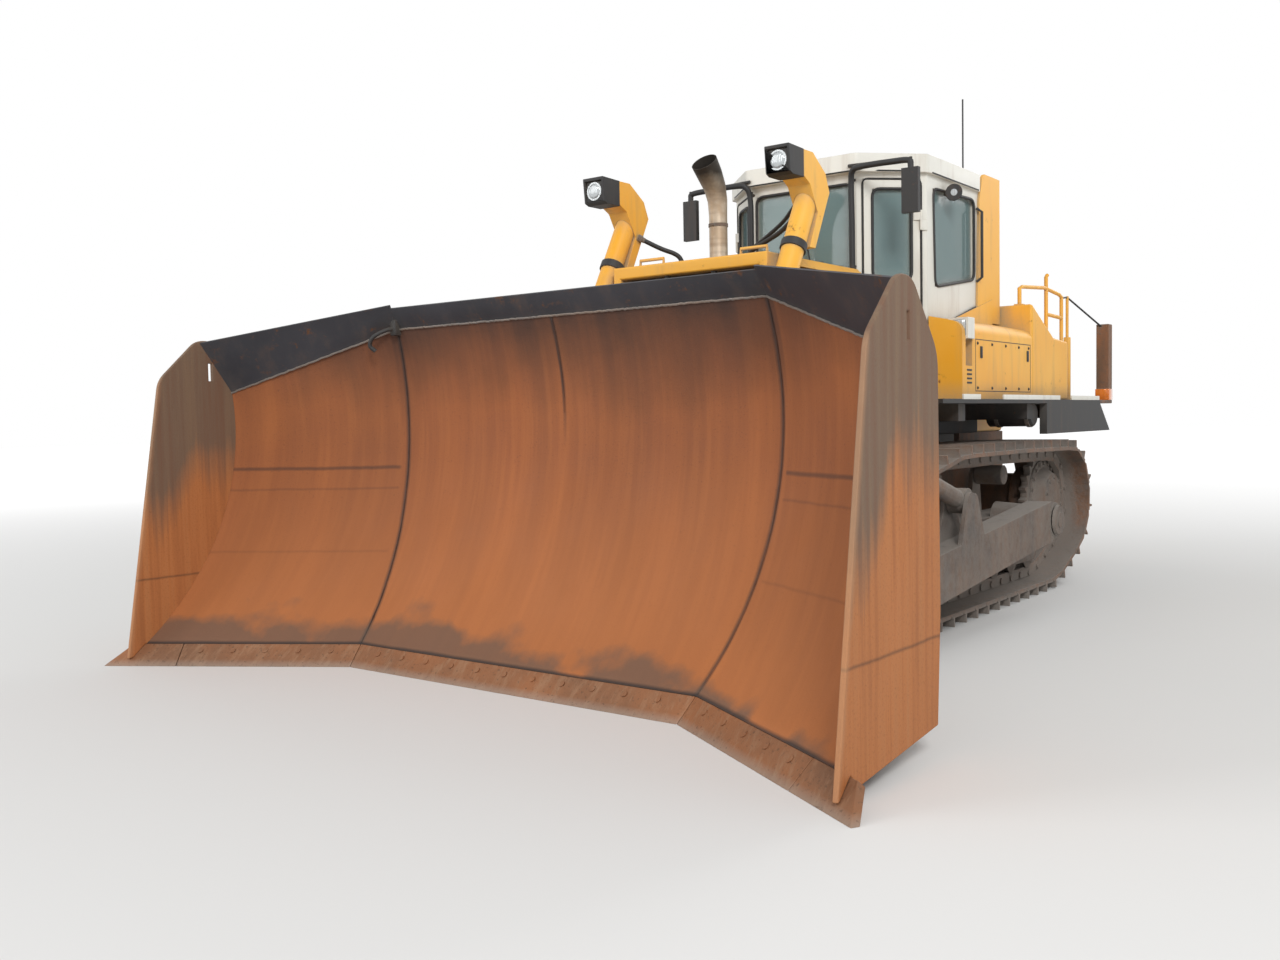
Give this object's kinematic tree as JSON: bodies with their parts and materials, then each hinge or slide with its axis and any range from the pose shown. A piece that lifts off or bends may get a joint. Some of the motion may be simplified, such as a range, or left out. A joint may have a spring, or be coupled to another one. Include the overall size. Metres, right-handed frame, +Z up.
{
  "type": "bulldozer",
  "caption": "Crawler bulldozer with a winged bowl blade, cheek plates and spill guard, push arms, lift cylinders with lamp masts, cab and rear tank.",
  "frame": {"origin": "on the ground under the middle of the machine's box", "axes": "+Y towards the rear, +X to the machine's left, +Z up"},
  "size_m": [4.9428, 7.5318, 3.93],
  "materials": {
    "yellow_paint": "gloss, dusty",
    "white_paint": "satin",
    "black_paint": "satin",
    "worn_steel": "worn and rusty",
    "rust_plate": "rusty",
    "dark_plate": "dark oxide",
    "dusty_steel": "dusty",
    "bright_rod": "polished",
    "exhaust_steel": "heat stained",
    "clear_glass": "clear",
    "seat_cloth": "woven",
    "lamp": "clear lens",
    "grey_plastic": "matte"
  },
  "bodies": {
    "tractor": {"left_track": "worn_steel", "right_track": "worn_steel", "sprockets": "dusty_steel", "idlers": "dusty_steel", "rollers": "dusty_steel", "carriers": "dusty_steel", "track_frames": "dusty_steel", "main_frame": "dusty_steel", "rear_case": "dusty_steel", "drawbar": "dusty_steel", "engine": "dusty_steel", "radiator_guard": "yellow_paint", "grille": "black_paint", "hood": "yellow_paint", "exhaust": "exhaust_steel", "cylinder_yokes": "yellow_paint", "decks": "black_paint", "side_pods": "yellow_paint", "tank": "yellow_paint", "cab_shell": "white_paint", "cab_roof": "white_paint", "cab_glass": "clear_glass", "cab_base": "black_paint", "seat": "seat_cloth", "seat_base": "grey_plastic", "console": "grey_plastic", "roll_bar": "yellow_paint", "hand_rails": "yellow_paint", "pod_lamps": "lamp", "mirrors": "black_paint", "rear_post": "worn_steel", "roof_lamps": "black_paint"},
    "trunnion_bushes": {"trunnion_bushes": "dusty_steel"},
    "blade": {"moldboard": "rust_plate", "cutting_edges": "rust_plate", "spill_guard": "dark_plate", "cheek_plates": "rust_plate", "blade_frame": "rust_plate", "arm_ears": "rust_plate"},
    "left_arm": {"left_push_arm": "dusty_steel", "left_tilt_barrel": "dusty_steel"},
    "right_arm": {"right_push_arm": "dusty_steel", "right_tilt_barrel": "dusty_steel"},
    "left_tilt_rod": {"left_tilt_rod": "bright_rod"},
    "right_tilt_rod": {"right_tilt_rod": "bright_rod"},
    "left_lift_barrel": {"left_lift_barrel": "yellow_paint", "left_lift_cover": "yellow_paint", "left_mast_lamp": "black_paint"},
    "right_lift_barrel": {"right_lift_barrel": "yellow_paint", "right_lift_cover": "yellow_paint", "right_mast_lamp": "black_paint"},
    "left_lift_rod": {"left_lift_rod": "bright_rod"},
    "right_lift_rod": {"right_lift_rod": "bright_rod"},
    "left_hood_door": {"left_hood_door": "yellow_paint"},
    "right_hood_door": {"right_hood_door": "yellow_paint"},
    "left_cab_door": {"left_cab_door": "white_paint", "left_door_glass": "clear_glass"},
    "right_cab_door": {"right_cab_door": "white_paint", "right_door_glass": "clear_glass"}
  },
  "joints": [
    {"name": "blade_lift", "type": "hinge", "parent": "tractor", "child": "trunnion_bushes", "pos_m": [0, 1.26594, 0.62], "axis": [-1, 0, 0], "range_deg": [-6, 14]},
    {"name": "blade_tilt", "type": "hinge", "parent": "trunnion_bushes", "child": "blade", "pos_m": [0, -2.10406, 0.3], "axis": [0, 0.9955, 0.0945], "range_deg": [-3, 3]},
    {"name": "left_arm_ball", "type": "hinge", "parent": "blade", "child": "left_arm", "pos_m": [1.42, -2.10406, 0.3], "axis": [1, 0, 0], "range_deg": [-1.4, 1.4]},
    {"name": "left_tilt_rod_slide", "type": "slide", "parent": "left_arm", "child": "left_tilt_rod", "axis": [0, -0.9595, 0.2819], "range_m": [-0.025, 0.025]},
    {"name": "left_lift_barrel_swing", "type": "hinge", "parent": "tractor", "child": "left_lift_barrel", "pos_m": [0.7, -1.26006, 2.05], "axis": [-1, 0, 0], "range_deg": [-7, 16.2]},
    {"name": "left_lift_rod_slide", "type": "slide", "parent": "left_lift_barrel", "child": "left_lift_rod", "axis": [0, 0.4781, 0.8783], "range_m": [-0.302, 0.704]},
    {"name": "left_hood_door_hinge", "type": "hinge", "parent": "tractor", "child": "left_hood_door", "pos_m": [0.53, 0.04094, 1.9], "axis": [0, 0, 1], "range_deg": [0, 85]},
    {"name": "left_cab_door_hinge", "type": "hinge", "parent": "tractor", "child": "left_cab_door", "pos_m": [0.77464, 0.62173, 2.3], "axis": [0, 0, 1], "range_deg": [0, 100]},
    {"name": "right_arm_ball", "type": "hinge", "parent": "blade", "child": "right_arm", "pos_m": [-1.42, -2.10406, 0.3], "axis": [1, 0, 0], "range_deg": [-1.4, 1.4]},
    {"name": "right_tilt_rod_slide", "type": "slide", "parent": "right_arm", "child": "right_tilt_rod", "axis": [0, -0.9595, 0.2819], "range_m": [-0.025, 0.025]},
    {"name": "right_lift_barrel_swing", "type": "hinge", "parent": "tractor", "child": "right_lift_barrel", "pos_m": [-0.7, -1.26006, 2.05], "axis": [-1, 0, 0], "range_deg": [-7, 16.2]},
    {"name": "right_lift_rod_slide", "type": "slide", "parent": "right_lift_barrel", "child": "right_lift_rod", "axis": [0, 0.4781, 0.8783], "range_m": [-0.302, 0.704]},
    {"name": "right_hood_door_hinge", "type": "hinge", "parent": "tractor", "child": "right_hood_door", "pos_m": [-0.53, 0.04094, 1.9], "axis": [0, 0, -1], "range_deg": [0, 85]},
    {"name": "right_cab_door_hinge", "type": "hinge", "parent": "tractor", "child": "right_cab_door", "pos_m": [-0.77464, 0.62173, 2.3], "axis": [0, 0, -1], "range_deg": [0, 100]}
  ],
  "couplings": [
    {"joint": "left_arm_ball", "follows": "blade_tilt", "ratio": 0.41948},
    {"joint": "left_tilt_rod_slide", "follows": "blade_tilt", "m_per_rad": -0.44058},
    {"joint": "left_lift_barrel_swing", "follows": "blade_lift", "ratio": 1.15},
    {"joint": "left_lift_rod_slide", "follows": "blade_lift", "m_per_rad": 2.876},
    {"joint": "right_arm_ball", "follows": "blade_tilt", "ratio": -0.41948},
    {"joint": "right_tilt_rod_slide", "follows": "blade_tilt", "m_per_rad": 0.44058},
    {"joint": "right_lift_barrel_swing", "follows": "blade_lift", "ratio": 1.15},
    {"joint": "right_lift_rod_slide", "follows": "blade_lift", "m_per_rad": 2.876}
  ]
}
